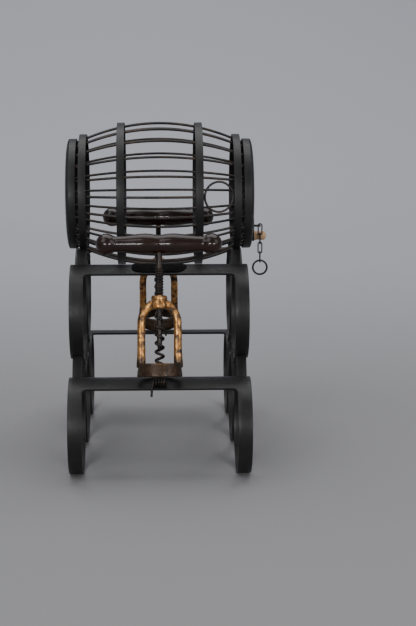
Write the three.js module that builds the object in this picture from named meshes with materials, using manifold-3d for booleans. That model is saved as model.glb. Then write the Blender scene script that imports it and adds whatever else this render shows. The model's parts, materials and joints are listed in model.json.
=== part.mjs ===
// Tabletop wine rack. Five bottle cradles stand in two rows, a barrel-shaped cork cage stands on the upper
// row, and a bell corkscrew leans on the front slope and on the rear slope.
// Millimetres, +Z up, bottles along X, front towards -Y. The plane X = 0 is halfway between the rings.
import * as THREE from 'three';
import { mergeVertices } from 'three/addons/utils/BufferGeometryUtils.js';
import Module from 'manifold-3d';

const wasm = await Module();
wasm.setup();

// Driving dimensions.
const GAP = 0.3; // clearance between pieces that meet
const RING = { radius: 40, wall: 2, width: 11.5, x: 69, segments: 48 };
const PITCH = 100; // between neighbouring ring centres, along a row and up a slope
const PLATE = { from: 62, to: 100, fillet: 4 }; // cross plate, degrees of elevation seen from its own slope
const LINK = { width: 8, thickness: 4 };
const POST_X = 66;
const BARREL = { x: 1.2, z: 221.6, middle: 61.5, bow: 0.0033, end: 76, hoopWall: 1.5 };
const WIRE = { radius: 1.1, count: 22, first: 3 };
const INNER_HOOP = { from: 30, to: 36.5 };
const OUTER_HOOP = { from: 62.6, to: 68.9 };
const END_BAND = { from: 71.4, to: 77.4 };
const BUNG = { x: 49.4, radius: 12.6, wire: 0.95, left: 36, right: 63.4 };
const LID = { face: 80.2, flat: 38, edge: 77.7, rim: 47.5, wall: 1.5 };
const HINGE = { x: 78.2, y: 50.85, pin: 1.2, hole: 1.5, knuckle: 2.6, half: 2.1, height: 4, leaf: 1.2 };
const STAPLE = { x: 87.4, y: -4.6, z: 193.6, wire: 0.7, spread: 2.4 };
const CHAIN = { wire: 0.55, length: 10.8, width: 4.4, pitch: 8.1, links: 4 };
const PULL_RING = { radius: 6.15, wire: 0.85 };
const KNOB = { y: 2.3, z: 184.1, from: 82.3, to: 93, radius: 4.2 };
const SCREW = { y: -90, z: 190, lean: 12.5 }; // middle of the handle, and the axis's lean towards the rack
const HANDLE = { ball: 8.75, ballX: 42.9, neck: 6.5, neckX: 34.5, swell: 8.7, swellX: 12, waist: 7.3 };
const SHANK = { radius: 2.4, top: 3, thread: -20.4, turns: 12, pitch: 2.3, crest: 3.75, root: 2.9 };
const WORM = { core: 2.2, coreEnd: -88.4, helix: 3.1, wire: 1.2, from: -55.8, to: -105.5, pitch: 7.2 };
const BELL = { bore: 4.05, collar: 6.6, top: -42.2, arch: -53.4, armX: 14.9, armWide: 3.1, armDeep: 2.5 };
const BASE = { outer: 18.6, outerTop: 17.6, wall: 2.5, bottom: -108.5, top: -97.5 };
const TIE = { y: -116.5, z: 80.3, radius: 2.3, wire: 0.85, turns: 5, pitch: 2.2 };
const X_MIN = BARREL.x - LID.face;
const X_MAX = BARREL.x + STAPLE.x + PULL_RING.radius + PULL_RING.wire;

const UPPER = { y: PITCH / 2, z: RING.radius + PITCH * Math.sqrt(0.75) };

const rad = THREE.MathUtils.degToRad;
const point = (x, y, z) => new THREE.Vector3(x, y, z);

const paint = (color, roughness, metalness) => new THREE.MeshStandardMaterial({ color, roughness, metalness });
const BLACK = paint(0x1b1a19, 0.45, 0.4);
const WIRE_BLACK = paint(0x2a2420, 0.42, 0.5);
const HANDLE_WOOD = paint(0x3a1a12, 0.2, 0);
const KNOB_WOOD = paint(0xc59a6b, 0.6, 0);
const COPPER = paint(0x8a6238, 0.4, 0.85);
const STEEL_BLACK = paint(0x221e1b, 0.4, 0.7);

const rack = new THREE.Group();

function add(parent, name, geometry, material) {
  const mesh = new THREE.Mesh(geometry, material);
  mesh.name = name;
  parent.add(mesh);
  return mesh;
}

// Closed geometry to a solid for joining and cutting, without the flat triangles at a lathe's poles.
function toSolid(geometry) {
  const bare = geometry.clone();
  bare.deleteAttribute('normal');
  bare.deleteAttribute('uv');
  const merged = mergeVertices(bare, 1e-4);
  const corners = Array.from(merged.index.array);
  const kept = [];
  for (let i = 0; i < corners.length; i += 3) {
    const [a, b, c] = corners.slice(i, i + 3);
    if (a !== b && b !== c && c !== a) kept.push(a, b, c);
  }
  const mesh = new wasm.Mesh({
    numProp: 3,
    vertProperties: new Float32Array(merged.attributes.position.array),
    triVerts: new Uint32Array(kept),
  });
  return new wasm.Manifold(mesh);
}

function toGeometry(solid) {
  const mesh = solid.getMesh();
  const geometry = new THREE.BufferGeometry();
  geometry.setAttribute('position', new THREE.BufferAttribute(mesh.vertProperties, 3));
  geometry.setIndex(new THREE.BufferAttribute(mesh.triVerts, 1));
  geometry.computeVertexNormals();
  return geometry;
}

const join = (...geometries) => toGeometry(geometries.map(toSolid).reduce((whole, piece) => whole.add(piece)));

// Revolved profile of [radius, height] pairs about +Z.
function turned(profile, segments, closed = false) {
  const points = profile.map(([radius, height]) => new THREE.Vector2(radius, height));
  if (closed) points.push(points[0].clone());
  return new THREE.LatheGeometry(points, segments).rotateX(Math.PI / 2);
}

const alongX = (geometry) => geometry.rotateY(Math.PI / 2);

// Flat band around the X axis, with a facet straight below the axis.
function band(outer, inner, from, to, segments) {
  const reach = 1 / Math.cos(Math.PI / segments);
  const profile = [[inner, from], [outer, from], [outer, to], [inner, to]];
  const ring = turned(profile.map(([radius, x]) => [radius * reach, x]), segments, true);
  return alongX(ring.rotateZ(Math.PI / segments));
}

// Outline in the YZ plane pushed along X, centred on X = 0.
function pushedAlongX(shape, length, curveSegments = 24) {
  const geometry = new THREE.ExtrudeGeometry(shape, { depth: length, bevelEnabled: false, curveSegments });
  geometry.translate(0, 0, -length / 2);
  return geometry.applyMatrix4(new THREE.Matrix4().makeBasis(point(0, 1, 0), point(0, 0, 1), point(1, 0, 0)));
}

function roundSection(radiusX, radiusY, sides) {
  const shape = new THREE.Shape();
  for (let i = 0; i < sides; i++) {
    const angle = (2 * Math.PI * (i + 0.5)) / sides;
    const [x, y] = [radiusX * Math.cos(angle), radiusY * Math.sin(angle)];
    if (i === 0) shape.moveTo(x, y);
    else shape.lineTo(x, y);
  }
  return shape;
}

const rod = (path, section, steps) => new THREE.ExtrudeGeometry(section, { steps, extrudePath: path });

const box = (x0, x1, y0, y1, z0, z1) => new THREE.BoxGeometry(x1 - x0, y1 - y0, z1 - z0)
  .translate((x0 + x1) / 2, (y0 + y1) / 2, (z0 + z1) / 2);

// ---- Cradles ----------------------------------------------------------------------------------------

// Bar welded to a ring's outside, pointing at an angle in the YZ plane, measured from +Y.
function weldedBar(x, degrees, length) {
  const from = RING.radius - RING.wall / 2;
  const bar = box(x - LINK.width / 2, x + LINK.width / 2, from, RING.radius + length, -LINK.thickness / 2,
    LINK.thickness / 2);
  return bar.rotateX(rad(degrees));
}

// Two strap rings and the cross plate between them, rolled from one sheet. The plate lies on the slope side
// of the top: slope is -1 at the front and +1 at the rear. Bars are [x, degrees, length] for both sides.
function cradle(slope, bars) {
  const half = RING.x + RING.width / 2;
  const edge = RING.x - RING.width / 2;
  const [first, last] = slope < 0 ? [180 - PLATE.to, 180 - PLATE.from] : [PLATE.from, PLATE.to];
  const sector = new THREE.Shape();
  sector.moveTo(0, 0);
  sector.lineTo(RING.radius * 2 * Math.cos(rad(last)), RING.radius * 2 * Math.sin(rad(last)));
  sector.absarc(0, 0, RING.radius * 2, rad(last), rad(first + 360), false);
  sector.closePath();
  let opening = toSolid(pushedAlongX(sector, edge * 2));
  for (const [angle, turn] of [[first, -1], [last, 1]]) {
    for (const side of [-1, 1]) {
      opening = opening.subtract(toSolid(cornerWeb(rad(angle), turn, side, edge)));
    }
  }
  let solid = toSolid(band(RING.radius, RING.radius - RING.wall, -half, half, RING.segments)).subtract(opening);
  for (const [x, degrees, length] of bars) {
    for (const side of [-1, 1]) {
      solid = solid.add(toSolid(weldedBar(side * x, slope < 0 ? degrees : 180 - degrees, length)));
    }
  }
  return toGeometry(solid);
}

// Prism that rounds the corner between a strap's inner edge and the plate's edge.
function cornerWeb(angle, turn, side, edge) {
  const r = PLATE.fillet;
  const web = new THREE.Shape();
  web.moveTo(-1, -1);
  web.lineTo(r, -1);
  web.lineTo(r, 0);
  web.absarc(r, r, r, -Math.PI / 2, -Math.PI, true);
  web.lineTo(-1, r);
  web.closePath();
  const prism = new THREE.ExtrudeGeometry(web, { depth: 10, bevelEnabled: false, curveSegments: 5 });
  const inward = point(-side, 0, 0);
  const around = point(0, -Math.sin(angle) * turn, Math.cos(angle) * turn);
  const outward = inward.clone().cross(around);
  const base = point(side * edge, Math.cos(angle) * RING.radius, Math.sin(angle) * RING.radius);
  base.addScaledVector(outward, -5);
  return prism.applyMatrix4(new THREE.Matrix4().makeBasis(inward, around, outward).setPosition(base));
}

function cradles() {
  const link = PITCH - 2 * RING.radius - GAP;
  const hoop = hoopInside(OUTER_HOOP) + BARREL.hoopWall + GAP;
  const rise = BARREL.z - UPPER.z;
  const post = [POST_X, THREE.MathUtils.radToDeg(Math.atan2(rise, UPPER.y)), Math.hypot(rise, UPPER.y)
    - RING.radius - hoop];
  const places = [
    ['front_lower_cradle', -1, PITCH, RING.radius, [[RING.x, 60, link]]],
    ['rear_lower_cradle', 1, PITCH, RING.radius, [[RING.x, 60, link]]],
    ['front_upper_cradle', -1, UPPER.y, UPPER.z, [[RING.x, 0, link], post]],
    ['rear_upper_cradle', 1, UPPER.y, UPPER.z, [post]],
  ];
  for (const [name, slope, y, z, bars] of places) {
    add(rack, name, cradle(slope, bars), BLACK).position.set(0, slope * y, z);
  }
  for (const [name, side] of [['middle_ring_left', -1], ['middle_ring_right', 1]]) {
    const ring = band(RING.radius, RING.radius - RING.wall, -RING.width / 2, RING.width / 2, RING.segments);
    const bars = [0, 60, 120, 180].map((degrees) => weldedBar(0, degrees, link));
    add(rack, name, join(ring, ...bars), BLACK).position.set(side * RING.x, 0, RING.radius);
  }
}

// ---- Barrel cage ------------------------------------------------------------------------------------

const wireRadius = (x) => BARREL.middle - BARREL.bow * x * x;
const hoopInside = (hoop) => wireRadius(hoop.from) + WIRE.radius + GAP;

class BowedLine extends THREE.Curve {
  constructor(from, to) {
    super();
    this.from = from;
    this.to = to;
  }

  getPoint(t, target = new THREE.Vector3()) {
    const x = this.from + (this.to - this.from) * t;
    return target.set(x, 0, wireRadius(x));
  }
}

function wire(from, to) {
  const steps = Math.max(2, Math.round((to - from) / 14));
  return rod(new BowedLine(from, to), roundSection(WIRE.radius, WIRE.radius, 6), steps);
}

function barrel() {
  const cage = new THREE.Group();
  cage.position.set(BARREL.x, 0, BARREL.z);
  rack.add(cage);
  for (const [kind, hoop] of [['inner_hoop', INNER_HOOP], ['outer_hoop', OUTER_HOOP], ['end_band', END_BAND]]) {
    const inside = hoopInside(hoop);
    for (const [side, from, to] of [['left', -hoop.to, -hoop.from], ['right', hoop.from, hoop.to]]) {
      add(cage, `${kind}_${side}`, band(inside + BARREL.hoopWall, inside, from, to, 48), BLACK);
    }
  }
  const wires = [[0, -BARREL.end, BUNG.left], [0, BUNG.right, BARREL.end]];
  for (let i = 1; i < WIRE.count; i++) wires.push([i, -BARREL.end, BARREL.end]);
  wires.forEach(([place, from, to], i) => {
    const geometry = wire(from, to).rotateX(rad(90 - WIRE.first) - (2 * Math.PI * place) / WIRE.count);
    add(cage, `cage_wire_${String(i + 1).padStart(2, '0')}`, geometry, WIRE_BLACK);
  });
  const slope = Math.atan(2 * BARREL.bow * BUNG.x);
  const bung = new THREE.TorusGeometry(BUNG.radius, BUNG.wire, 6, 24);
  bung.rotateY(slope).translate(BUNG.x, 0, wireRadius(BUNG.x)).rotateX(rad(90 - WIRE.first));
  add(cage, 'bung_ring', bung, WIRE_BLACK);
  add(cage, 'left_lid', lid().rotateZ(Math.PI), BLACK);
  add(cage, 'right_lid', lid(), BLACK);
}

// Shallow dished disc that closes the barrel's end, open towards the cage.
function lid() {
  const { face, flat, edge, rim, wall } = LID;
  const outside = [[0, face], [flat, face], [flat + 4.5, face - 0.5], [rim - 1.5, face - 1.3], [rim, edge + 0.2],
    [rim, edge]];
  const inside = [[rim - wall, edge], [rim - 2.7, edge + 0.3], [rim - 5.7, edge + 0.7], [flat - 0.4, face - wall],
    [0, face - wall]];
  return alongX(turned([...outside, ...inside].reverse(), 36));
}

// ---- Right lid: hinge, pull and knob ----------------------------------------------------------------

const barrelEnd = new THREE.Group(); // keeps X measured from the barrel's middle
barrelEnd.position.x = BARREL.x;
rack.add(barrelEnd);

// Hollow upright cylinder at the hinge line.
function knuckle(from, to) {
  const tube = turned([[HINGE.hole, from], [HINGE.knuckle, from], [HINGE.knuckle, to], [HINGE.hole, to]], 16, true);
  return tube.translate(HINGE.x, HINGE.y, BARREL.z);
}

function hinge() {
  const { x, y, leaf, half, height, knuckle: outer, hole } = HINGE;
  const { z } = BARREL;
  const low = half + GAP;
  const high = low + height;
  const back = hoopInside(END_BAND) + BARREL.hoopWall + GAP;
  const body = box(END_BAND.from + 0.5, x - outer - GAP, back, back + leaf, z - high, z + high);
  const tabs = [[-high, -low], [low, high]].map(([from, to]) => (
    box(x - outer - 1, x, back, back + leaf, z + from, z + to)));
  add(barrelEnd, 'hinge_fixed_leaf', join(body, ...tabs, knuckle(low, high), knuckle(-high, -low)), BLACK);

  const face = LID.face + GAP;
  const strap = box(face, face + leaf, 28, y, z - half, z + half);
  const web = box(x + hole + 0.2, face + leaf, y - 2.4, y, z - half, z + half);
  add(barrelEnd, 'hinge_strap', join(strap, web, knuckle(-half, half)), BLACK);

  const head = 2.2;
  const pin = turned([[0, -high - 1.5], [head, -high - 1.5], [head, -high - GAP], [HINGE.pin, -high - GAP],
    [HINGE.pin, high + GAP], [head, high + GAP], [head, high + 1.5], [0, high + 1.5]], 16);
  add(barrelEnd, 'hinge_pin', pin.translate(x, y, z), BLACK);
}

// Oval wire link in the XZ plane: a ring with its upper and lower halves moved apart.
function chainLink() {
  const segments = 12;
  const bend = (CHAIN.width - 2 * CHAIN.wire) / 2;
  const link = new THREE.TorusGeometry(bend, CHAIN.wire, 6, segments).rotateZ(Math.PI / segments);
  const stretch = (CHAIN.length - CHAIN.width) / 2;
  const { position } = link.attributes;
  for (let i = 0; i < position.count; i++) {
    const across = Math.sin((2 * Math.PI * ((i % (segments + 1)) + 0.5)) / segments);
    position.setY(i, position.getY(i) + Math.sign(across) * stretch);
  }
  return link.rotateX(Math.PI / 2);
}

function lidFittings() {
  const front = LID.face + GAP;
  const thick = 1.5;
  add(barrelEnd, 'pull_plate', box(front, front + thick, -9, 7, 180.3, 201), BLACK);

  const { x, y, z, wire: staple, spread } = STAPLE;
  const root = front + thick + GAP;
  const bow = new THREE.CatmullRomCurve3([[root, -1], [x - 1.2, -1], [x - 0.3, -0.72], [x, 0], [x - 0.3, 0.72],
    [x - 1.2, 1], [root, 1]].map(([px, side]) => point(px, y + spread * side, z)));
  add(barrelEnd, 'pull_staple', rod(bow, roundSection(staple, staple, 8), 14), BLACK);

  const inner = CHAIN.length / 2 - 2 * CHAIN.wire;
  const top = z + staple + 0.4 - inner;
  for (let i = 0; i < CHAIN.links; i++) {
    const link = chainLink().rotateZ(i % 2 ? Math.PI / 2 : 0).translate(x, y, top - CHAIN.pitch * i);
    add(barrelEnd, `pull_chain_link_${i + 1}`, link, BLACK);
  }

  const wireCentre = top - CHAIN.pitch * (CHAIN.links - 1) - inner + GAP + PULL_RING.wire;
  const ring = new THREE.TorusGeometry(PULL_RING.radius, PULL_RING.wire, 8, 24).rotateX(Math.PI / 2);
  add(barrelEnd, 'pull_ring', ring.translate(x, y, wireCentre - PULL_RING.radius), BLACK);

  const { from, to, radius } = KNOB;
  const profile = [[0, from], [radius, from], [radius, from + 1], [radius - 0.4, from + 2.6],
    [radius - 0.3, to - 2.4], [radius - 0.7, to - 1.1], [radius - 1.8, to - 0.3], [0, to]];
  add(barrelEnd, 'lid_knob', alongX(turned(profile, 20)).translate(0, KNOB.y, KNOB.z), KNOB_WOOD);
}

// ---- Corkscrews -------------------------------------------------------------------------------------
// In the corkscrew's own frame Z runs up its axis from the middle of the handle and +Y points at the rack.

function handle() {
  const { ball, ballX, neck, neckX, swell, swellX, waist } = HANDLE;
  const round = Math.PI - Math.asin(neck / ball);
  const cap = [0, 1, 2, 3, 4, 5, 6, 7].map((i) => (
    [ball * Math.sin((round * i) / 7), -ballX - ball * Math.cos((round * i) / 7)]));
  const shape = [[-neckX, neck], [-25, waist], [-swellX, swell], [0, waist], [swellX, swell], [25, waist], [neckX, neck]];
  const spline = new THREE.SplineCurve(shape.map(([x, r]) => new THREE.Vector2(r, x)));
  const middle = spline.getPoints(16).map(({ x, y }) => [x, y]);
  const other = cap.map(([r, x]) => [r, -x]).reverse();
  const body = alongX(turned([...cap, ...middle, ...other], 18));
  const { radius, top } = SHANK;
  const hole = turned([[0, -20], [radius + GAP, -20], [radius + GAP, top + GAP], [0, top + GAP]], 12);
  return toGeometry(toSolid(body).subtract(toSolid(hole)));
}

class Worm extends THREE.Curve {
  getPoint(t, target = new THREE.Vector3()) {
    const z = WORM.from + (WORM.to - WORM.from) * t;
    const angle = (2 * Math.PI * (z - WORM.from)) / WORM.pitch;
    return target.set(WORM.helix * Math.cos(angle), WORM.helix * Math.sin(angle), z);
  }
}

// Plain shank, thread and worm core turned in one, with the worm wound round the core and past its end.
function spindle() {
  const { radius, top, thread, turns, pitch, crest, root } = SHANK;
  const start = thread - turns * pitch;
  const profile = [[0, WORM.coreEnd], [WORM.core * 0.6, WORM.coreEnd + 1], [WORM.core, WORM.coreEnd + 5],
    [WORM.core, start - 2.6]];
  for (let i = 0; i < turns; i++) {
    profile.push([root, start + pitch * i], [crest, start + pitch * (i + 0.5)]);
  }
  profile.push([root, thread], [radius, thread + 0.4], [radius, top], [0, top]);
  const helix = rod(new Worm(), roundSection(WORM.wire, WORM.wire, 6), 64);
  return join(turned(profile, 12), helix);
}

function bell() {
  const { bore, collar, top, arch, armX, armWide, armDeep } = BELL;
  const neck = turned([[bore, arch], [collar + 1.6, arch], [collar + 0.8, -49], [collar, -46.5], [collar, top - 0.8],
    [collar - 0.8, top], [bore, top]], 20, true);
  const { outer, outerTop, wall, bottom, top: rim } = BASE;
  const skirt = turned([[outer - wall, bottom], [outer, bottom], [outer - 0.2, bottom + 4.5], [outerTop, rim],
    [outerTop - wall, rim]], 36, true);
  const arms = [-1, 1].map((side) => {
    const route = [[5.6, -49.4], [9.6, -52.4], [13, -57], [armX, -63], [armX, -75], [armX, -88], [armX, -100]];
    const path = new THREE.CatmullRomCurve3(route.map(([x, z]) => point(side * x, 0, z)));
    return rod(path, roundSection(armDeep, armWide, 10), 14);
  });
  const hole = turned([[0, arch - 8], [bore, arch - 8], [bore, top + 1], [0, top + 1]], 20);
  return toGeometry(toSolid(join(neck, skirt, ...arms)).subtract(toSolid(hole)));
}

// Thin sheet that lies on a cradle's plate, between two elevations.
function foot(halfWidth, from, to) {
  const inner = RING.radius / Math.cos(Math.PI / RING.segments) + GAP;
  const shape = new THREE.Shape();
  shape.absarc(0, 0, inner + 1, rad(180 - to), rad(180 - from), false);
  shape.absarc(0, 0, inner, rad(180 - from), rad(180 - to), true);
  shape.closePath();
  return pushedAlongX(shape, halfWidth * 2, 6);
}

// Foot on the upper cradle's plate with an arm that reaches out to the shank.
function upperBracket() {
  const arm = box(-3, 3, SHANK.radius + GAP, 34, -19.5, -16.5);
  arm.rotateX(-rad(SCREW.lean)).translate(0, SCREW.y, SCREW.z);
  const clear = RING.radius / Math.cos(Math.PI / RING.segments) + GAP;
  const drum = alongX(turned([[0, -9], [clear, -9], [clear, 9], [0, 9]], RING.segments));
  const trimmed = toSolid(arm).subtract(toSolid(drum.translate(0, -UPPER.y, UPPER.z)));
  const sheet = foot(24, PLATE.from, PLATE.to - 2).translate(0, -UPPER.y, UPPER.z);
  return toGeometry(trimmed.add(toSolid(sheet)));
}

// Wire wound into a knot under the bell's base ring, with its end running down past the plate's edge.
function lowerTie() {
  const { y, z, radius, wire: thick, turns, pitch } = TIE;
  const route = [];
  const perTurn = 10;
  for (let i = 0; i <= turns * perTurn; i++) {
    const angle = Math.PI + (2 * Math.PI * i) / perTurn;
    const x = pitch * (turns / 2 - i / perTurn);
    route.push(point(x, y + radius * Math.cos(angle), z + radius * Math.sin(angle)));
  }
  const last = -pitch * (turns / 2);
  route.push(point(last - 0.8, y - 3.1, z - 2.5), point(last - 1.1, y - 5.6, z - 6.3), point(last - 1.3, y - 8,
    z - 10.2));
  return rod(new THREE.CatmullRomCurve3(route), roundSection(thick, thick, 6), turns * perTurn + 8);
}

function corkscrew(slopeName, turn) {
  const slope = new THREE.Group();
  slope.rotation.z = turn;
  rack.add(slope);
  const leaning = new THREE.Group();
  leaning.rotation.x = -rad(SCREW.lean);
  leaning.position.set(0, SCREW.y, SCREW.z);
  slope.add(leaning);
  add(leaning, `${slopeName}_corkscrew_handle`, handle(), HANDLE_WOOD);
  add(leaning, `${slopeName}_corkscrew_spindle`, spindle(), STEEL_BLACK);
  add(leaning, `${slopeName}_corkscrew_bell`, bell(), COPPER);
  add(slope, `${slopeName}_upper_bracket`, upperBracket(), BLACK);
  add(slope, `${slopeName}_lower_tie`, lowerTie(), BLACK);
}

cradles();
barrel();
hinge();
lidFittings();
corkscrew('front', 0);
corkscrew('rear', Math.PI);

// The exported frame has its origin under the middle of the whole rack.
const group = new THREE.Group();
rack.position.x = -(X_MIN + X_MAX) / 2;
group.add(rack);
export default group;
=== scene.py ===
"""Tabletop wine rack: five bottle cradles in a pyramid, a barrel-shaped wire cork cage with a hinged lid, and
a bell corkscrew on the front and the rear slope. Sizes are millimetres until they become vertices."""

import json
import math

import bpy
from mathutils import Matrix, Vector, noise

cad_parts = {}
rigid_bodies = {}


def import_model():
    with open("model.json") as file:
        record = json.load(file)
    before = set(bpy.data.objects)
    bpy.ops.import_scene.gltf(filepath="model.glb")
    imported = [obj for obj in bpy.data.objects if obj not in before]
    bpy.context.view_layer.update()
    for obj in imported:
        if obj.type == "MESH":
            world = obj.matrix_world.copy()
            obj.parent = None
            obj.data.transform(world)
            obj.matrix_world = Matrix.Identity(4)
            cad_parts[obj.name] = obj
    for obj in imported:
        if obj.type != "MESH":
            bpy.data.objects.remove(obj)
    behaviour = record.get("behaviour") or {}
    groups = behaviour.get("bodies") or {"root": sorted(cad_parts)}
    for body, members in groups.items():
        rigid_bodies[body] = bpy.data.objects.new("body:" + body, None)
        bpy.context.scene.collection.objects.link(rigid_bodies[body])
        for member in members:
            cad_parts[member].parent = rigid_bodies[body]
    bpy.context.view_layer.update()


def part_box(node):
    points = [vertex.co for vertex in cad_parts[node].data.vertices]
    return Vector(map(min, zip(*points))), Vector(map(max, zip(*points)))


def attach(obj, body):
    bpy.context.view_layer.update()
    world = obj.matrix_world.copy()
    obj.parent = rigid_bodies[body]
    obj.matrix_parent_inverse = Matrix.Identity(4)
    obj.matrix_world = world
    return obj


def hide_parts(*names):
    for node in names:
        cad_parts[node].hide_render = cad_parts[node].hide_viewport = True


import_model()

MM = 0.001
RING, WALL, STRAP_IN, STRAP_OUT = 40.0, 2.0, 63.25, 74.75
STRAP_X, POST_X = 69.0, 66.0
PITCH, UPPER_Y, UPPER_Z = 100.0, 50.0, 126.6025
BARREL_X, BARREL_Z, MIDDLE, BOW, WIRE, WIRES, FIRST = 1.2, 221.6, 61.5, 0.0033, 1.1, 22, 3.0
GAP, BAND = 0.3, 1.5  # clearance between pieces that meet, and the barrel bands' thickness
INNER_HOOP, OUTER_HOOP, END_BAND = (30.0, 36.5), (62.6, 68.9), (71.4, 77.4)
WIRE_END, CUT_LEFT, CUT_RIGHT = 76.0, 36.0, 63.4
BUNG_X, BUNG_RADIUS, BUNG_WIRE = 49.4, 12.6, 0.95
KNOB_Y, KNOB_Z = 2.3, 184.1
LINKS, LINK_PITCH, LINK_LENGTH, LINK_WIRE = 4, 8.1, 10.8, 0.55
PULL_RADIUS, PULL_WIRE = 6.15, 0.85
SCREW_Y, SCREW_Z, LEAN = -90.0, 190.0, math.radians(12.5)
STAPLE = Vector((87.4, -4.6, 193.6))
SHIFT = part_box("left_lid")[0][0] / MM + 79.0
RACK = Matrix.Scale(MM, 4) @ Matrix.Translation((SHIFT, 0, 0))
END = RACK @ Matrix.Translation((BARREL_X, 0, 0))
BARREL = END @ Matrix.Translation((0, 0, BARREL_Z))


# ---- Shader nodes -----------------------------------------------------------------------------------

class Maths:
    """A socket that adds Math nodes when it is used in an expression."""

    def __init__(self, finish, socket):
        self.finish, self.socket = finish, socket

    def _with(self, operation, *values):
        return self.finish.node("Math", {"operation": operation}, dict(enumerate(values)))

    def __add__(self, other):
        return self._with("ADD", self, other)

    def __mul__(self, other):
        return self._with("MULTIPLY", self, other)

    def __sub__(self, other):
        return self._with("SUBTRACT", self, other)

    def __rsub__(self, other):
        return self._with("SUBTRACT", other, self)

    __radd__, __rmul__ = __add__, __mul__


class Finish:
    """A material with a Principled shader whose constants sit on its own sockets."""

    def __init__(self, name, **constants):
        self.material = bpy.data.materials.new(name)
        self.material.use_nodes = True
        self.tree = self.material.node_tree
        self.shader = self.tree.nodes["Principled BSDF"]
        for socket, value in constants.items():
            self.set(socket.replace("_", " ").title(), value)
        self.where = self.node("TexCoord", output="Object")

    def node(self, kind, settings=None, inputs=None, output=0):
        """Adds one node: settings first, then the values or links of its sockets."""
        made = self.tree.nodes.new("ShaderNode" + kind)
        for key, value in (settings or {}).items():
            if key == "stops":
                ramp = made.color_ramp.elements
                for place, colour in value[2:]:
                    ramp.new(place)
                for stop, (place, colour) in zip(ramp, sorted(value)):
                    stop.position, stop.color = place, colour
            else:
                setattr(made, key, value)
        for key, value in (inputs or {}).items():
            self.join(made.inputs[key], value)
        return Maths(self, made.outputs[output])

    def join(self, socket, value):
        if isinstance(value, Maths):
            self.tree.links.new(value.socket, socket)
        else:
            socket.default_value = value

    def set(self, socket, value):
        self.join(self.shader.inputs[socket], value)

    def stretched(self, x, y, z):
        return self.node("Mapping", {}, {"Vector": self.where, "Scale": (x, y, z)})

    def cloud(self, scale, detail=4.0, roughness=0.55, where=None):
        return self.node("TexNoise", {}, {"Vector": where or self.where, "Scale": scale, "Detail": detail,
                                          "Roughness": roughness})

    def between(self, value, low, high, to_low=0.0, to_high=1.0):
        return self.node("MapRange", {"interpolation_type": "SMOOTHSTEP"}, {
            "Value": value, "From Min": low, "From Max": high, "To Min": to_low, "To Max": to_high})

    def blend(self, factor, first, second):
        return self.node("Mix", {"data_type": "RGBA"}, {0: factor, 6: first, 7: second}, output=2)

    def bump(self, height, distance, strength=1.0, under=None):
        inputs = {"Height": height, "Distance": distance, "Strength": strength}
        if under is not None:
            inputs["Normal"] = under
        return self.node("Bump", {}, inputs)


def rgb(red, green, blue):
    return (red, green, blue, 1.0)


def powder_coat():
    f = Finish("black_powder_coat", metallic=0.0, coat_weight=0.0)
    f.set("Specular IOR Level", 0.34)
    pits, patches, scuffs = f.cloud(2600, 2), f.cloud(38, 5), f.cloud(190, 6, 0.7)
    worn = f.between(patches, 0.45, 0.72)
    f.set("Base Color", f.blend(worn, rgb(0.0085, 0.0083, 0.0088), rgb(0.0155, 0.0143, 0.0142)))
    f.set("Roughness", f.between(scuffs, 0.3, 0.7, 0.36, 0.5) + worn * 0.06)
    f.set("Normal", f.bump(pits, 0.00005, 0.5, f.bump(scuffs, 0.00006, 0.35)))
    return f.material


def wire_coat():
    f = Finish("wire_coat", metallic=0.25)
    patches, pits = f.cloud(60, 5), f.cloud(1500, 2)
    rubbed = f.between(patches, 0.4, 0.68)
    f.set("Base Color", f.blend(rubbed, rgb(0.010, 0.0078, 0.0066), rgb(0.040, 0.024, 0.016)))
    f.set("Roughness", f.between(patches, 0.3, 0.7, 0.34, 0.48))
    f.set("Normal", f.bump(pits, 0.00005, 0.5))
    return f.material


def mahogany():
    f = Finish("mahogany_varnish", coat_weight=0.5, coat_roughness=0.1)
    f.set("Specular IOR Level", 0.15)
    along = f.stretched(0.16, 1.0, 1.0)
    flame, pores = f.cloud(95, 6, 0.6, along), f.cloud(900, 3, 0.6, f.stretched(0.05, 1.0, 1.0))
    figure = f.node("TexWave", {"bands_direction": "Z"}, {"Vector": along, "Scale": 55.0, "Distortion": 7.0,
                                                        "Detail": 3.0, "Detail Scale": 1.4})
    tone = f.blend(f.between(flame, 0.3, 0.7), rgb(0.0095, 0.0042, 0.0028), rgb(0.019, 0.0082, 0.0054))
    f.set("Base Color", f.blend(figure * 0.25, tone, rgb(0.026, 0.0108, 0.0068)))
    f.set("Roughness", f.between(pores, 0.4, 0.7, 0.25, 0.42))
    f.set("Normal", f.bump(pores, 0.00002, 0.12))
    return f.material


def pale_wood():
    f = Finish("pale_turned_wood")
    rings = f.node("TexWave", {"wave_type": "RINGS", "rings_direction": "X"}, {
        "Vector": f.where, "Scale": 240.0, "Distortion": 5.0, "Detail": 3.0})
    fibres = f.cloud(700, 4, 0.6, f.stretched(0.12, 1.0, 1.0))
    tone = f.blend(rings, rgb(0.40, 0.235, 0.12), rgb(0.60, 0.385, 0.21))
    f.set("Base Color", f.blend(f.between(fibres, 0.45, 0.75) * 0.5, tone, rgb(0.25, 0.12, 0.055)))
    f.set("Roughness", f.between(fibres, 0.3, 0.7, 0.5, 0.66))
    f.set("Normal", f.bump(fibres, 0.00008, 0.5))
    return f.material


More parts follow.
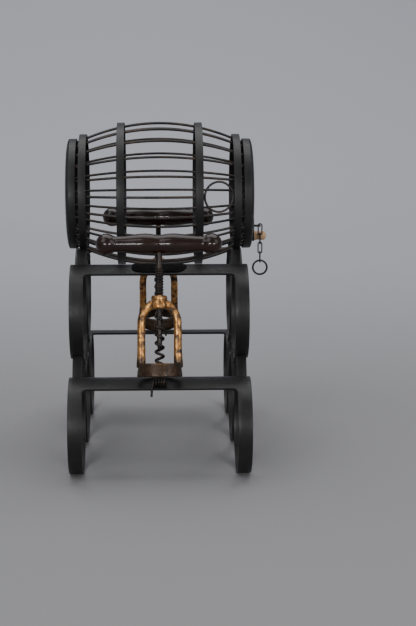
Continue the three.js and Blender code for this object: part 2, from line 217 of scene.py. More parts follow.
def bronze():
    f = Finish("patinated_bronze")
    f.set("Specular IOR Level", 0.5)
    patches, grain, speckle = f.cloud(120, 6, 0.6), f.cloud(700, 4, 0.65), f.cloud(330, 5, 0.7)
    height = f.node("SeparateXYZ", {}, {"Vector": f.where}, output=2)
    # Rubbed copper patches at random are real wear. Below the arms they are faded out, so the base ring is darker
    # towards the bottom: painted shade.
    copper_wear_and_low_shade = f.between(patches + speckle * 0.5, 0.58, 0.86) * f.between(height, 0.096, 0.1035, 0.06, 1.0)
    warm = f.blend(f.between(speckle, 0.4, 0.65), rgb(0.42, 0.185, 0.055), rgb(0.70, 0.375, 0.13))
    f.set("Base Color", f.blend(copper_wear_and_low_shade, rgb(0.016, 0.0095, 0.006), warm))
    f.set("Metallic", f.between(copper_wear_and_low_shade, 0.0, 1.0, 0.45, 0.95))
    f.set("Roughness", f.between(grain, 0.3, 0.7, 0.28, 0.46))
    f.set("Normal", f.bump(grain, 0.00016, 0.6, f.bump(patches, 0.0006, 0.5)))
    return f.material


def dark_steel():
    f = Finish("browned_steel", metallic=0.4)
    patches, grain = f.cloud(150, 5), f.cloud(1100, 3)
    brown = f.between(patches, 0.42, 0.66)
    f.set("Base Color", f.blend(brown, rgb(0.010, 0.0078, 0.0068), rgb(0.034, 0.0205, 0.0145)))
    f.set("Roughness", f.between(grain, 0.3, 0.7, 0.3, 0.5))
    f.set("Normal", f.bump(grain, 0.00008, 0.5))
    return f.material


def weld_crust():
    f = Finish("weld_crust")
    f.set("IOR", 1.08)
    lumps, grain, patches = f.cloud(420, 5, 0.65), f.cloud(1500, 3), f.cloud(140, 4)
    ash = f.between(patches, 0.45, 0.7)
    f.set("Base Color", f.blend(ash, rgb(0.0016, 0.0015, 0.0016), rgb(0.005, 0.0047, 0.0049)))
    f.set("Roughness", f.between(grain, 0.3, 0.7, 0.3, 0.5))
    f.set("Normal", f.bump(lumps, 0.0007, 0.8, f.bump(grain, 0.00012, 0.5)))
    return f.material


def paper_with_painted_light(name, low, high):
    f = Finish(name)
    fibres = f.cloud(900, 3)
    back = f.node("SeparateXYZ", {}, {"Vector": f.where}, output=1)
    # Darker at the front of the floor and lighter up the wall: painted shade and painted light on paper of one
    # colour.
    f.set("Base Color", f.blend(f.between(back, -0.1, 1.7), low, high))
    f.set("Roughness", f.between(fibres, 0.3, 0.7, 0.82, 0.92))
    f.set("Normal", f.bump(fibres, 0.0001, 0.15))
    return f.material


COAT, WIRE_COAT, WOOD, PALE = powder_coat(), wire_coat(), mahogany(), pale_wood()
BRONZE, STEEL, CRUST = bronze(), dark_steel(), weld_crust()


# ---- Mesh making ------------------------------------------------------------------------------------

def piece(name, verts, faces, material, place, body, slot, nodes, sharp=38.0):
    """A finished mesh, in metres at its place, riding on a body in place of its nodes."""
    mesh = bpy.data.meshes.new(name)
    mesh.from_pydata([tuple(place @ Vector(v)) for v in verts], [], faces)
    mesh.validate()
    return settle(name, mesh, material, body, nodes, sharp)


def settle(name, mesh, material, body, nodes, sharp=38.0):
    mesh.materials.clear()
    mesh.materials.append(material)
    mesh.polygons.foreach_set("use_smooth", [True] * len(mesh.polygons))
    mesh.set_sharp_from_angle(angle=math.radians(sharp))
    made = bpy.data.objects.new(name, mesh)
    bpy.context.collection.objects.link(made)
    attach(made, body)
    if nodes:
        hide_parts(*nodes)
    return made


def bevel(made, width, segments=2, angle=35.0):
    mod = made.modifiers.new("edge", "BEVEL")
    mod.width, mod.segments = width * MM, segments
    mod.limit_method, mod.angle_limit = "ANGLE", math.radians(angle)
    mod.harden_normals = False
    return made


def eased(outline, reach, steps=3):
    """A closed outline of (a, b) with each corner turned into a small curve."""
    out = []
    for i, corner in enumerate(outline):
        here = Vector(corner)
        before, after = Vector(outline[i - 1]) - here, Vector(outline[(i + 1) % len(outline)]) - here
        cut = min(reach, before.length * 0.45, after.length * 0.45)
        start, end = here + before.normalized() * cut, here + after.normalized() * cut
        for k in range(steps + 1):
            t = k / steps
            out.append(tuple(start * (1 - t) ** 2 + here * (2 * t * (1 - t)) + end * t ** 2))
    return out


def turned(profile, segments, closed):
    """Vertices and faces of a (radius, height) profile spun about Z. An open one ends on the axis."""
    verts, faces, rows = [], [], []
    for radius, height in profile:
        if radius < 1e-6:
            rows.append([len(verts)] * segments)
            verts.append((0, 0, height))
            continue
        rows.append(list(range(len(verts), len(verts) + segments)))
        turns = [2 * math.pi * k / segments for k in range(segments)]
        verts += [(radius * math.cos(turn), radius * math.sin(turn), height) for turn in turns]
    pairs = list(zip(rows, rows[1:])) + ([(rows[-1], rows[0])] if closed else [])
    for low, high in pairs:
        for k in range(segments):
            n = (k + 1) % segments
            loop = [low[k], low[n], high[n], high[k]]
            face = [v for i, v in enumerate(loop) if v != loop[i - 1]]
            if len(face) > 2:
                faces.append(face)
    area = sum(a[0] * b[1] - b[0] * a[1] for a, b in zip(profile, profile[1:] + profile[:1]))
    return verts, faces if area > 0 else [f[::-1] for f in faces]


X_AXIS = Matrix.Rotation(math.pi / 2, 4, "Y")


def swept(path, section, scale=None, closed=False):
    """Vertices and faces of a section carried along a path of points without twisting."""
    count, sides = len(path), len(section)
    path = [Vector(p) for p in path]
    if closed:
        tangents = [(path[(i + 1) % count] - path[i - 1]).normalized() for i in range(count)]
    else:
        tangents = [(path[min(i + 1, count - 1)] - path[max(i - 1, 0)]).normalized() for i in range(count)]
    side = tangents[0].orthogonal().normalized()
    if abs(tangents[0].z) < 0.99:
        side = tangents[0].cross(Vector((0, 0, 1))).normalized()
    verts = []
    for i, (here, along) in enumerate(zip(path, tangents)):
        side = (side - along * side.dot(along)).normalized()
        other = along.cross(side)
        size = scale(i / (count - 1)) if scale else 1.0
        verts += [here + side * (a * size) + other * (b * size) for a, b in section]
    faces = []
    for i in range(count if closed else count - 1):
        low, high = i * sides, ((i + 1) % count) * sides
        faces += [[low + k, low + (k + 1) % sides, high + (k + 1) % sides, high + k] for k in range(sides)]
    if not closed:
        faces += [list(range(sides))[::-1], list(range((count - 1) * sides, count * sides))]
    return verts, faces


def oval(a, b, sides):
    return [(a * math.cos(2 * math.pi * k / sides), b * math.sin(2 * math.pi * k / sides)) for k in range(sides)]


def through(points, steps):
    """A smooth path through points, steps to each stretch."""
    points = [Vector(p) for p in points]
    ends = [points[0] * 2 - points[1]] + points + [points[-1] * 2 - points[-2]]
    out = []
    for a, b, c, d in zip(ends, ends[1:], ends[2:], ends[3:]):
        for k in range(steps):
            t = k / steps
            out.append(0.5 * (b * 2 + (c - a) * t + (a * 2 - b * 5 + c * 4 - d) * t * t
                              + (b * 3 - a - c * 3 + d) * t ** 3))
    return out + [points[-1]]


def merged(*parts):
    verts, faces = [], []
    for part_verts, part_faces in parts:
        faces += [[v + len(verts) for v in face] for face in part_faces]
        verts += [tuple(v) for v in part_verts]
    return verts, faces


def moved(part, matrix):
    return [matrix @ Vector(v) for v in part[0]], part[1]


# ---- Geometry Nodes ---------------------------------------------------------------------------------

class Rule:
    """A Geometry Nodes tree with named inputs."""

    def __init__(self, name, **inputs):
        self.tree = bpy.data.node_groups.new(name, "GeometryNodeTree")
        self.ids = {}
        for label, kind in inputs.items():
            socket = self.tree.interface.new_socket(label.replace("_", " ").title(), in_out="INPUT",
                                                    socket_type="NodeSocket" + kind)
            self.ids[label] = socket.identifier
        self.tree.interface.new_socket("Geometry", in_out="OUTPUT", socket_type="NodeSocketGeometry")
        source = self.tree.nodes.new("NodeGroupInput")
        self.given = {label: source.outputs[i] for i, label in enumerate(inputs)}
        self.end = self.tree.nodes.new("NodeGroupOutput")

    def node(self, kind, settings=None, inputs=None, output=0):
        made = self.tree.nodes.new(kind)
        for key, value in (settings or {}).items():
            setattr(made, key, value)
        for key, value in (inputs or {}).items():
            if isinstance(value, bpy.types.NodeSocket):
                self.tree.links.new(value, made.inputs[key])
            else:
                made.inputs[key].default_value = value
        return made.outputs[output]

    def maths(self, operation, *values):
        return self.node("ShaderNodeMath", {"operation": operation}, dict(enumerate(values)))

    def finish(self, geometry):
        real = self.node("GeometryNodeRealizeInstances", {}, {0: geometry})
        done = self.node("GeometryNodeSetMaterial", {}, {0: real, "Material": self.given["material"]})
        self.tree.links.new(done, self.end.inputs[0])

    def mesh(self, **values):
        """The tree's result for these inputs, as a plain mesh."""
        carrier = bpy.data.objects.new("carrier", bpy.data.meshes.new("carrier"))
        bpy.context.collection.objects.link(carrier)
        mod = carrier.modifiers.new("rule", "NODES")
        mod.node_group = self.tree
        for label, value in values.items():
            mod[self.ids[label]] = value
        bpy.context.view_layer.update()
        seen = carrier.evaluated_get(bpy.context.evaluated_depsgraph_get())
        mesh = bpy.data.meshes.new_from_object(seen)
        bpy.data.objects.remove(carrier)
        return mesh


def bowed_wires():
    rule = Rule("bowed_wires", start="Float", end="Float", middle="Float", bow="Float", thickness="Float",
                count="Int", first="Float", step="Float", material="Material")
    g = rule.given
    line = rule.node("GeometryNodeCurvePrimitiveLine", {}, {
        "Start": rule.node("ShaderNodeCombineXYZ", {}, {0: g["start"]}),
        "End": rule.node("ShaderNodeCombineXYZ", {}, {0: g["end"]})})
    line = rule.node("GeometryNodeResampleCurve", {}, {"Curve": line, "Count": 41})
    x = rule.node("ShaderNodeSeparateXYZ", {}, {0: rule.node("GeometryNodeInputPosition")})
    height = rule.maths("SUBTRACT", g["middle"], rule.maths("MULTIPLY", rule.maths("MULTIPLY", x, x), g["bow"]))
    line = rule.node("GeometryNodeSetPosition", {}, {
        "Geometry": line, "Position": rule.node("ShaderNodeCombineXYZ", {}, {0: x, 2: height})})
    round_wire = rule.node("GeometryNodeCurvePrimitiveCircle", {}, {"Resolution": 14, "Radius": g["thickness"]})
    wire = rule.node("GeometryNodeCurveToMesh", {}, {
        "Curve": line, "Profile Curve": round_wire, "Fill Caps": True})
    places = rule.node("GeometryNodeMeshLine", {}, {"Count": g["count"], "Offset": (0, 0, 0)})
    turn = rule.maths("ADD", g["first"], rule.maths("MULTIPLY", rule.node("GeometryNodeInputIndex"), g["step"]))
    rule.finish(rule.node("GeometryNodeInstanceOnPoints", {}, {
        "Points": places, "Instance": wire, "Rotation": rule.node("ShaderNodeCombineXYZ", {}, {0: turn})}))
    return rule


def hanging_links():
    rule = Rule("hanging_links", bend="Float", stretch="Float", thickness="Float", count="Int", pitch="Float",
                material="Material")
    g = rule.given
    loop = rule.node("GeometryNodeCurvePrimitiveCircle", {}, {"Resolution": 40, "Radius": g["bend"]})
    at = rule.node("GeometryNodeInputPosition")
    x = rule.node("ShaderNodeSeparateXYZ", {}, {0: at})
    y = rule.node("ShaderNodeSeparateXYZ", {}, {0: at}, output=1)
    side = rule.maths("SIGN", rule.maths("ADD", y, 0.0000001))
    tall = rule.maths("ADD", y, rule.maths("MULTIPLY", side, g["stretch"]))
    loop = rule.node("GeometryNodeSetPosition", {}, {
        "Geometry": loop, "Position": rule.node("ShaderNodeCombineXYZ", {}, {0: x, 2: tall})})
    round_wire = rule.node("GeometryNodeCurvePrimitiveCircle", {}, {"Resolution": 12, "Radius": g["thickness"]})
    link = rule.node("GeometryNodeCurveToMesh", {}, {"Curve": loop, "Profile Curve": round_wire})
    drop = rule.node("ShaderNodeCombineXYZ", {}, {2: rule.maths("MULTIPLY", g["pitch"], -1.0)})
    places = rule.node("GeometryNodeMeshLine", {}, {"Count": g["count"], "Offset": drop})
    turn = rule.maths("MULTIPLY", rule.node("GeometryNodeInputIndex"), math.pi / 2)
    rule.finish(rule.node("GeometryNodeInstanceOnPoints", {}, {
        "Points": places, "Instance": link, "Rotation": rule.node("ShaderNodeCombineXYZ", {}, {2: turn})}))
    return rule


def wire_radius(x):
    return MIDDLE - BOW * x * x


def hoop_inside(hoop):
    """Inner radius of a band that lies over the wires, at its end nearer the barrel's middle."""
    return wire_radius(hoop[0]) + WIRE + GAP


# ---- Cradles ----------------------------------------------------------------------------------------

def rolled_cradle(first, last, fillet=4.0):
    """Sheet of two straps and the plate between them, from elevation first to last, before its wall is added."""
    r = RING
    lo, hi, ease = math.radians(first), math.radians(last), fillet / r
    ahead, rest = 22, 74
    steps = 7
    inset = [fillet * (1 - math.cos(math.pi / 2 * k / steps)) for k in range(steps + 1)]
    columns = [(-STRAP_OUT, None), (-STRAP_OUT + 3.8, None), (-STRAP_IN - 3.8, None)]
    columns += [(-STRAP_IN + d, d) for d in inset]
    columns += [(x, fillet) for x in (-42, -21, 0, 21, 42)]
    columns += [(STRAP_IN - d, d) for d in reversed(inset)]
    columns += [(STRAP_IN + 3.8, None), (STRAP_OUT - 3.8, None), (STRAP_OUT, None)]
    verts, table = [], {}
    total = ahead + rest
    for c, (x, depth) in enumerate(columns):
        web = fillet - math.sqrt(max(0.0, fillet ** 2 - (fillet - (depth or 0.0)) ** 2))
        for row in range(total):
            on_plate = row <= ahead
            full = depth is None or depth == 0.0
            if not full and not on_plate:
                continue
            reach = (fillet if full else web) / r
            if on_plate:
                angle = lo - reach + (hi - lo + 2 * reach) * row / ahead
            else:
                around = 2 * math.pi - (hi - lo + 2 * ease)
                angle = hi + ease + around * (row - ahead) / rest
            table[c, row] = len(verts)
            verts.append((x, r * math.cos(angle), r * math.sin(angle)))
    faces = []
    for c in range(len(columns) - 1):
        for row in range(total):
            corners = [(c, row), (c, (row + 1) % total), (c + 1, (row + 1) % total), (c + 1, row)]
            inner = any(columns[k][1] not in (None, 0.0) for k in (c, c + 1))
            if inner and row >= ahead:
                continue
            if all(corner in table for corner in corners):
                faces.append([table[corner] for corner in corners])
    return verts, faces


def welded_bar(x, degrees, length, width=8.0, thick=4.0):
    """Flat bar standing on a ring, with a weld bead round its foot."""
    w, t = width / 2, thick / 2
    outline = eased([(-w, -t), (w, -t), (w, t), (-w, t)], 0.5)
    rise = [(RING - 1.2, 1.22, 1.45), (RING - 0.1, 1.16, 1.34), (RING + 0.35, 1.07, 1.14), (RING + 0.9, 1.0, 1.0),
            (RING + length - 0.35, 1.0, 1.0), (RING + length, 0.94, 0.9)]
    verts = [(a * sa, h, b * sb) for h, sa, sb in rise for a, b in outline]
    n = len(outline)
    faces = [[i * n + k, (i + 1) * n + k, (i + 1) * n + (k + 1) % n, i * n + (k + 1) % n]
             for i in range(len(rise) - 1) for k in range(n)]
    faces += [list(range(n)), list(range((len(rise) - 1) * n, len(rise) * n))[::-1]]
    return moved((verts, faces), Matrix.Translation((x, 0, 0)) @ Matrix.Rotation(math.radians(degrees), 4, "X"))


def cradles():
    link = PITCH - 2 * RING - GAP
    rise = BARREL_Z - UPPER_Z
    hoop = hoop_inside(OUTER_HOOP) + BAND + GAP
    post = (POST_X, math.degrees(math.atan2(rise, UPPER_Y)), math.hypot(rise, UPPER_Y) - RING - hoop)
    places = [("front_lower_cradle", -1, PITCH, RING, [(STRAP_X, 60, link)]),
              ("rear_lower_cradle", 1, PITCH, RING, [(STRAP_X, 60, link)]),
              ("front_upper_cradle", -1, UPPER_Y, UPPER_Z, [(STRAP_X, 0, link), post]),
              ("rear_upper_cradle", 1, UPPER_Y, UPPER_Z, [post])]
    for name, slope, y, z, bars in places:
        spot = RACK @ Matrix.Translation((0, slope * y, z))
        verts, faces = rolled_cradle(*((80, 118) if slope < 0 else (62, 100)))
        made = piece(name + "_sheet", verts, faces, COAT, spot, "rack", "black_steel", [name])
        wall = made.modifiers.new("wall", "SOLIDIFY")
        wall.thickness, wall.offset, wall.use_even_offset = WALL * MM, -1.0, True
        bevel(made, 0.4)
        stubs = [welded_bar(side * x, degrees if slope < 0 else 180 - degrees, length)
                 for x, degrees, length in bars for side in (-1, 1)]
        verts, faces = merged(*stubs)
        piece(name + "_bars", verts, faces, COAT, spot, "rack", "black_steel", [])
    half = (STRAP_OUT - STRAP_IN) / 2
    outline = eased([(RING - WALL, -half), (RING, -half), (RING, half), (RING - WALL, half)], 0.4)
    for name, side in (("middle_ring_left", -1), ("middle_ring_right", 1)):
        verts, faces = turned(outline, 96, True)
        ring = moved((verts, faces), X_AXIS)
        verts, faces = merged(ring, *[welded_bar(0, degrees, link) for degrees in (0, 60, 120, 180)])
        piece(name + "_welded", verts, faces, COAT, RACK @ Matrix.Translation((side * STRAP_X, 0, RING)), "rack",
              "black_steel", [name])


# ---- Barrel cage ------------------------------------------------------------------------------------

def hoops():
    for kind, hoop in (("inner_hoop", INNER_HOOP), ("outer_hoop", OUTER_HOOP), ("end_band", END_BAND)):
        low, high = hoop
        inside = hoop_inside(hoop)
        for side, a, b in (("left", -high, -low), ("right", low, high)):
            profile = eased([(inside, a), (inside + BAND, a), (inside + BAND, b), (inside, b)], 0.32)
            verts, faces = turned(profile, 112, True)
            piece(f"{kind}_{side}_strip", verts, faces, COAT, BARREL @ X_AXIS, "rack", "black_steel",
                  [f"{kind}_{side}"])


def wires():
    rule = bowed_wires()
    step = 2 * math.pi / WIRES
    first = math.radians(90 - FIRST)
    whole = [f"cage_wire_{i:02d}" for i in range(3, WIRES + 2)]
    runs = [("cage_wires", -WIRE_END, WIRE_END, WIRES - 1, first - step, whole),
            ("cut_wire_long", -WIRE_END, CUT_LEFT, 1, first, ["cage_wire_01"]),
            ("cut_wire_short", CUT_RIGHT, WIRE_END, 1, first, ["cage_wire_02"])]
    for name, start, end, count, turn, nodes in runs:
        mesh = rule.mesh(start=start * MM, end=end * MM, middle=MIDDLE * MM, bow=BOW / MM,
                         thickness=WIRE * MM, count=count, first=turn, step=-step, material=WIRE_COAT)
        mesh.transform(Matrix.Translation(((BARREL_X + SHIFT) * MM, 0, BARREL_Z * MM)))
        settle(name, mesh, WIRE_COAT, "rack", nodes)
    slope = math.atan(2 * BOW * BUNG_X)
    turns = [2 * math.pi * k / 72 for k in range(72)]
    loop = [(BUNG_RADIUS * math.cos(t), BUNG_RADIUS * math.sin(t), 0) for t in turns]
    ring = swept(loop, oval(BUNG_WIRE, BUNG_WIRE, 14), closed=True)
    spot = (Matrix.Rotation(first, 4, "X") @ Matrix.Translation((BUNG_X, 0, wire_radius(BUNG_X)))
            @ Matrix.Rotation(slope, 4, "Y"))
    verts, faces = moved(ring, spot)
    piece("bung_ring_wire", verts, faces, WIRE_COAT, BARREL, "rack", "wire", ["bung_ring"])


def lids():
    outside = [(0, 80.2), (20, 80.2), (36, 80.2), (38, 80.17), (40.2, 80.0), (42.5, 79.7), (44.4, 79.35),
               (46, 78.9), (46.9, 78.5), (47.35, 78.1), (47.5, 77.9), (47.4, 77.72)]
    inside = [(46.0, 77.7), (45.4, 77.8), (44.8, 78.0), (43.4, 78.2), (41.8, 78.4), (39.8, 78.6), (37.6, 78.7),
              (20, 78.7), (0, 78.7)]
    verts, faces = turned((outside + inside)[::-1], 112, False)
    piece("left_lid_dish", verts, faces, COAT, BARREL @ Matrix.Rotation(math.pi, 4, "Z") @ X_AXIS, "rack",
          "black_steel", ["left_lid"], 25)
    piece("right_lid_dish", verts, faces, COAT, BARREL @ X_AXIS, "lid", "black_steel", ["right_lid"], 25)


# ---- Lid fittings -----------------------------------------------------------------------------------

def plate(x0, x1, y0, y1, z0, z1, ease):
    """Flat plate across X with rounded corners and softened edges."""
    outline = eased([(y0, z0), (y1, z0), (y1, z1), (y0, z1)], ease, 5)
    cy, cz = (y0 + y1) / 2, (z0 + z1) / 2
    verts, n = [], len(outline)
    thick = x1 - x0
    for x, trim in ((x0, 0.25), (x0 + 0.25, 0.0), (x0 + thick - 0.3, 0.0), (x1, 0.3)):
        for y, z in outline:
            verts.append((x, y - math.copysign(trim, y - cy), z - math.copysign(trim, z - cz)))
    faces = [[i * n + k, i * n + (k + 1) % n, (i + 1) * n + (k + 1) % n, (i + 1) * n + k]
             for i in range(3) for k in range(n)]
    return verts, faces + [list(range(n))[::-1], list(range(3 * n, 4 * n))]


def fittings():
    verts, faces = plate(80.5, 82.0, -9, 7, 180.3, 201, 2.2)
    piece("pull_plate_sheet", verts, faces, COAT, END, "lid", "black_steel", ["pull_plate"], 30)

    x, y, z = STAPLE
    bow = [(82.3, -1), (x - 1.2, -1), (x - 0.3, -0.72), (x, 0), (x - 0.3, 0.72), (x - 1.2, 1), (82.3, 1)]
    verts, faces = swept(through([(px, y + 2.4 * s, z) for px, s in bow], 6), oval(0.7, 0.7, 14))
    piece("staple_wire", verts, faces, COAT, END, "lid", "black_steel", ["pull_staple"])

    inner = LINK_LENGTH / 2 - 2 * LINK_WIRE
    top = z + 0.7 + 0.4 - inner
    mesh = hanging_links().mesh(bend=1.65 * MM, stretch=3.2 * MM, thickness=LINK_WIRE * MM, count=LINKS,
                                pitch=LINK_PITCH * MM, material=STEEL)
    mesh.transform(Matrix.Translation(Vector((x + BARREL_X + SHIFT, y, top)) * MM))
    links = [f"pull_chain_link_{i}" for i in range(1, LINKS + 1)]
    settle("chain_links", mesh, STEEL, "chain", links)

    wire_centre = top - LINK_PITCH * (LINKS - 1) - inner + GAP + PULL_WIRE
    loop = [(x + PULL_RADIUS * math.cos(t), y, wire_centre - PULL_RADIUS + PULL_RADIUS * math.sin(t))
            for t in (2 * math.pi * k / 64 for k in range(64))]
    verts, faces = swept(loop, oval(PULL_WIRE, PULL_WIRE, 14), closed=True)
    piece("pull_ring_wire", verts, faces, COAT, END, "ring", "black_steel", ["pull_ring"])

    knob = [(0, 82.3), (3.9, 82.3), (4.2, 82.6), (4.2, 83.3), (3.9, 84.0), (3.72, 85.2), (3.8, 87.0), (3.95, 89.0),
            (3.92, 90.4), (3.6, 91.6), (3.0, 92.3), (2.0, 92.8), (1.0, 92.96), (0, 93.0)]
    verts, faces = turned(knob, 56, False)
    piece("lid_knob_turned", verts, faces, PALE, END @ Matrix.Translation((0, KNOB_Y, KNOB_Z)) @ X_AXIS,
          "lid", "pale_wood", ["lid_knob"])


def barrel_tube(x, y, low, high, hole=1.5, outer=2.6):
    profile = eased([(hole, low), (outer, low), (outer, high), (hole, high)], 0.25)
    verts, faces = turned(profile, 40, True)
    return moved((verts, faces), Matrix.Translation((x, y, BARREL_Z)))


def hinge():
    x, y, half, height, leaf = 78.2, 50.85, 2.1, 4.0, 1.2
    low, high = half + GAP, half + GAP + height
    back = hoop_inside(END_BAND) + BAND + GAP
    flat = Matrix(((0, 1, 0, 0), (1, 0, 0, 0), (0, 0, 1, 0), (0, 0, 0, 1)))
    parts = [moved(plate(back, back + leaf, 71.9, x - 2.9, BARREL_Z - high, BARREL_Z + high, 1.5), flat)]
    for a, b in ((-high, -low), (low, high)):
        parts.append(moved(plate(back, back + leaf, x - 3.6, x, BARREL_Z + a, BARREL_Z + b, 0.2), flat))
    parts = [(v, [f[::-1] for f in faces]) for v, faces in parts]
    parts += [barrel_tube(x, y, low, high), barrel_tube(x, y, -high, -low)]
    verts, faces = merged(*parts)
    piece("hinge_fixed_leaf_sheet", verts, faces, COAT, END, "rack", "black_steel", ["hinge_fixed_leaf"], 30)

    strap = plate(80.5, 81.7, 28, y, BARREL_Z - half, BARREL_Z + half, 1.4)
    web = plate(79.9, 81.7, y - 2.4, y, BARREL_Z - half, BARREL_Z + half, 0.2)
    verts, faces = merged(strap, web, barrel_tube(x, y, -half, half))
    piece("hinge_strap_sheet", verts, faces, COAT, END, "lid", "black_steel", ["hinge_strap"], 30)

    pin = [(0, -high - 1.5), (1.5, -high - 1.4), (2.1, -high - 1.0), (2.2, -high - 0.3), (1.2, -high - 0.3),
           (1.2, high + 0.3), (2.2, high + 0.3), (2.1, high + 1.0), (1.5, high + 1.4), (0, high + 1.5)]
    verts, faces = turned(pin, 40, False)
    piece("hinge_pin_rivet", verts, faces, STEEL, END @ Matrix.Translation((x, y, BARREL_Z)), "rack", "black_steel",
          ["hinge_pin"], 30)


# ---- Corkscrews -------------------------------------------------------------------------------------

def handle_profile():
    """(radius, x) from one end of the turned handle to the other."""
    ball, ball_x, neck = 8.75, 42.9, 6.5
    reach = math.pi - math.asin(neck / ball) - 0.12
    cap = [(ball * math.sin(reach * k / 18), ball_x + ball * math.cos(reach * k / 18)) for k in range(19)]
    right = through([(cap[-1][0], cap[-1][1], 0), (6.35, 35.8, 0), (6.5, 34.5, 0), (6.85, 30.0, 0), (7.35, 25.0, 0),
                     (8.2, 18.0, 0), (8.7, 12.0, 0), (8.25, 6.0, 0), (7.3, 0, 0)], 7)
    half = cap + [(p.x, p.y) for p in right[1:]]
    return half + [(r, -x) for r, x in reversed(half[:-1])]


def handle():
    profile = handle_profile()
    profile[0], profile[-1] = (0, profile[0][1]), (0, profile[-1][1])
    return moved(turned(profile[::-1], 72, False), X_AXIS)


def spindle():
    start = -20.4 - 12 * 2.3
    profile = [(0, -88.4), (1.2, -87.2), (1.9, -84.0), (2.2, -80.0), (2.2, start - 2.6), (2.6, start - 1.2)]
    for i in range(12):
        z = start + 2.3 * i
        profile += [(2.9, z), (3.05, z + 0.35), (3.7, z + 1.0), (3.75, z + 1.15), (3.7, z + 1.3),
                    (3.05, z + 1.95)]
    profile += [(2.9, -20.4), (2.4, -20.0), (2.4, 2.8), (2.1, 3.0), (0, 3.0)]
    turns = (105.5 - 55.8) / 7.2
    steps = 300
    path = []
    for k in range(steps + 1):
        t = k / steps
        drawn = min(1.0, (1 - t) / 0.06) ** 0.5
        path.append((3.1 * drawn * math.cos(2 * math.pi * turns * t),
                     3.1 * drawn * math.sin(2 * math.pi * turns * t), -55.8 - 49.7 * t))
    
    def taper(t):
        return min(1.0, 0.25 + t / 0.02) * min(1.0, max(0.06, (1 - t) / 0.16))

    return merged(turned(profile, 36, False), swept(path, oval(1.2, 1.2, 12), taper))


def arm_swell(t):
    """Thickness factor along a bell arm, which is fuller at the collar and at the base ring."""
    return 1.0 + 0.12 * math.exp(-((t - 0.05) / 0.12) ** 2) + 0.16 * math.exp(-((t - 1.0) / 0.12) ** 2)


def cast_bell(name, place):
    """Collar, two arms and base ring grown together into one casting."""
    collar = [(4.05, -52.8), (5.4, -53.4), (6.9, -52.4), (7.0, -50.4), (6.6, -48.0), (6.3, -46.5), (6.7, -45.4),
              (6.6, -43.3), (5.8, -42.2), (4.05, -42.2)]
    skirt = eased([(16.1, -108.5), (18.6, -108.5), (18.3, -104.5), (17.1, -98.6), (16.8, -97.5),
                   (14.6, -97.5)], 0.8)
    parts = [turned(collar, 48, True), turned(skirt, 96, True)]
    for side in (-1, 1):
        route = [(5.2, -49.0), (9.4, -52.2), (12.9, -56.8), (14.7, -62.6), (14.9, -75.0), (14.9, -88.0),
                 (15.3, -101.0)]
        path = through([(side * x, 0, z) for x, z in route], 8)
        parts.append(swept(path, oval(2.7, 3.3, 20), arm_swell))
    verts, faces = merged(*parts)
    mesh = bpy.data.meshes.new(name)
    mesh.from_pydata([tuple(place @ Vector(v)) for v in verts], [], faces)
    carrier = bpy.data.objects.new(name + "_rough", mesh)
    bpy.context.collection.objects.link(carrier)
    grow = carrier.modifiers.new("grow", "REMESH")
    grow.mode, grow.voxel_size = "VOXEL", 0.42 * MM
    ease = carrier.modifiers.new("ease", "SMOOTH")
    ease.factor, ease.iterations = 0.5, 5
    bpy.context.view_layer.update()
    mesh = bpy.data.meshes.new_from_object(carrier.evaluated_get(bpy.context.evaluated_depsgraph_get()))
    bpy.data.objects.remove(carrier)
    proud = [vertex.normal.copy() for vertex in mesh.vertices]
    for vertex, out in zip(mesh.vertices, proud):
        spot = vertex.co / MM
        vertex.co += out * (noise.noise(spot * 0.22) * 0.16 + noise.noise(spot * 0.8) * 0.06) * MM
    return mesh


def weld_patch():
    """Crusted sheet on the upper plate with a ragged outline."""
    columns, rows = 56, 26
    inner, verts, faces = 40.3, [], []
    for layer in (0, 1):
        for c in range(columns + 1):
            for r in range(rows + 1):
                u, v = c / columns * 2 - 1, r / rows * 2 - 1
                ragged = noise.noise(Vector((u * 7.0, v * 3.0, 3.0))) * 0.16
                x = 22.9 * u * (1 - abs(v) ** 3 * 0.08) * (1 + ragged * 0.5)
                angle = math.radians(180 - (80 + 16.0 * v * (1 - abs(u) ** 6 * 0.3) * (1 + ragged * 0.6)))
                edge = max(abs(u), abs(v)) ** 6
                height = 0.25 + 0.75 * (1 - edge) * (0.62 + 0.5 * noise.noise(Vector((x * 0.33, v * 4.5, 7.0))))
                radius = inner + (height if layer else 0.0)
                verts.append((x, radius * math.cos(angle), radius * math.sin(angle)))
    n, half = rows + 1, (columns + 1) * (rows + 1)
    for c in range(columns):
        for r in range(rows):
            top = [half + c * n + r, half + (c + 1) * n + r, half + (c + 1) * n + r + 1, half + c * n + r + 1]
            faces += [top, [v - half for v in reversed(top)]]
    rim = ([(c, 0) for c in range(columns)] + [(columns, r) for r in range(rows)]
           + [(c, rows) for c in range(columns, 0, -1)] + [(0, r) for r in range(rows, 0, -1)])
    for (c0, r0), (c1, r1) in zip(rim, rim[1:] + rim[:1]):
        a, b = c0 * n + r0, c1 * n + r1
        faces.append([a, b, half + b, half + a])
    return moved((verts, faces), Matrix.Translation((0, -UPPER_Y, UPPER_Z)))


def bracket_arm():
    outline = eased([(-3, -1.5), (3, -1.5), (3, 1.5), (-3, 1.5)], 0.5)
    stops = [2.7, 3.1, 10, 20, 26, 29.0, 30.3]
    verts = []
    for stop in stops:
        trim = 0.9 if stop == stops[0] else 1.0
        verts += [(a * trim, stop, -18 + b * trim) for a, b in outline]
    n = len(outline)
    faces = [[i * n + k, (i + 1) * n + k, (i + 1) * n + (k + 1) % n, i * n + (k + 1) % n]
             for i in range(len(stops) - 1) for k in range(n)]
    return verts, faces + [list(range(n)), list(range((len(stops) - 1) * n, len(stops) * n))[::-1]]


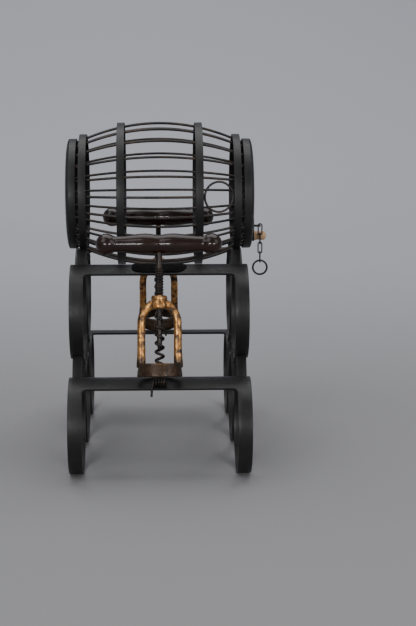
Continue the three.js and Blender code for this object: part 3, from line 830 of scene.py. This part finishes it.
def tie_wire():
    y, z, radius, turns, pitch = -116.5, 80.3, 2.3, 5, 2.2
    route = []
    for i in range(turns * 12 + 1):
        angle = math.pi + 2 * math.pi * i / 12
        route.append((pitch * (turns / 2 - i / 12), y + radius * math.cos(angle), z + radius * math.sin(angle)))
    last = -pitch * turns / 2
    route += [(last - 0.8, y - 3.1, z - 2.5), (last - 1.1, y - 5.6, z - 6.3), (last - 1.3, y - 8.0, z - 10.2)]
    return swept(through(route, 2), oval(0.95, 0.95, 12))


def corkscrew(slope, turn):
    upright = RACK @ Matrix.Rotation(turn, 4, "Z")
    leaning = upright @ Matrix.Translation((0, SCREW_Y, SCREW_Z)) @ Matrix.Rotation(-LEAN, 4, "X")
    name = slope + "_corkscrew_"
    piece(name + "handle_turned", *handle(), WOOD, leaning, "rack", "dark_wood", [name + "handle"])
    piece(name + "spindle_worm", *spindle(), STEEL, leaning, "rack", "dark_steel", [name + "spindle"])
    bell = cast_bell(name + "bell", leaning)
    settle(name + "bell_casting", bell, BRONZE, "rack", [name + "bell"], 80)
    piece(slope + "_weld_patch", *weld_patch(), CRUST, upright, "rack", "black_steel",
          [slope + "_upper_bracket"], 80)
    piece(slope + "_bracket_arm", *bracket_arm(), COAT, leaning, "rack", "black_steel", [])
    piece(slope + "_tie_wire", *tie_wire(), STEEL, upright, "rack", "dark_steel", [slope + "_lower_tie"])


# ---- Room -------------------------------------------------------------------------------------------

def backdrop():
    """Floor that sweeps up behind the rack in one sheet of paper."""
    profile = [(-3.2, 0.0), (-1.5, 0.0), (0.0, 0.0), (1.3, 0.0)]
    bends = [math.pi / 2 * k / 14 for k in range(1, 15)]
    profile += [(1.3 + 0.9 * math.sin(bend), 0.9 - 0.9 * math.cos(bend)) for bend in bends]
    profile += [(2.2, 3.4)]
    verts = [(x, y, z) for x in (-3.6, 3.6) for y, z in profile]
    n = len(profile)
    mesh = bpy.data.meshes.new("backdrop")
    mesh.from_pydata(verts, [], [[i, i + n, i + n + 1, i + 1] for i in range(n - 1)])
    # The dark floor colour and light wall colour are painted shade and painted light.
    mesh.materials.append(paper_with_painted_light("backdrop_paper_painted_light", rgb(0.24, 0.238, 0.243), rgb(0.56, 0.565, 0.61)))
    mesh.polygons.foreach_set("use_smooth", [True] * len(mesh.polygons))
    made = bpy.data.objects.new("backdrop", mesh)
    bpy.context.collection.objects.link(made)


def lamp(name, place, target, width, height, power, colour=(1, 1, 1)):
    data = bpy.data.lights.new(name, "AREA")
    data.shape, data.size, data.size_y, data.energy, data.color = "RECTANGLE", width, height, power, colour
    made = bpy.data.objects.new(name, data)
    made.location = place
    made.rotation_euler = (Vector(target) - Vector(place)).to_track_quat("-Z", "Y").to_euler()
    bpy.context.collection.objects.link(made)


def studio():
    middle = (0, 0, 0.15)
    lamp("key_softbox", (-0.9, -0.9, 1.5), middle, 1.2, 1.2, 9)
    lamp("left_front_softbox", (-0.55, -1.6, 0.45), middle, 0.62, 0.12, 9)
    lamp("right_front_softbox", (0.85, -1.5, 0.42), middle, 0.62, 0.12, 7)
    lamp("fill_softbox", (1.3, -0.8, 0.9), middle, 0.9, 1.1, 5)
    lamp("top_softbox", (0.1, 0.5, 1.8), middle, 2.2, 1.6, 26)
    world = bpy.data.worlds.new("room")
    world.use_nodes = True
    world.node_tree.nodes["Background"].inputs["Color"].default_value = rgb(0.62, 0.64, 0.70)
    world.node_tree.nodes["Background"].inputs["Strength"].default_value = 0.36
    bpy.context.scene.world = world
    data = bpy.data.cameras.new("camera")
    data.lens, data.sensor_width = 88.6, 36.0
    camera = bpy.data.objects.new("camera", data)
    camera.location = Vector((-3.5 + SHIFT, -1338.8, 367.3)) * MM
    camera.rotation_euler = (math.radians(90 - 10.65), 0, math.radians(-2.0))
    bpy.context.collection.objects.link(camera)
    bpy.context.scene.camera = camera


cradles()
hoops()
wires()
lids()
fittings()
hinge()
corkscrew("front", 0.0)
corkscrew("rear", math.pi)
backdrop()
studio()
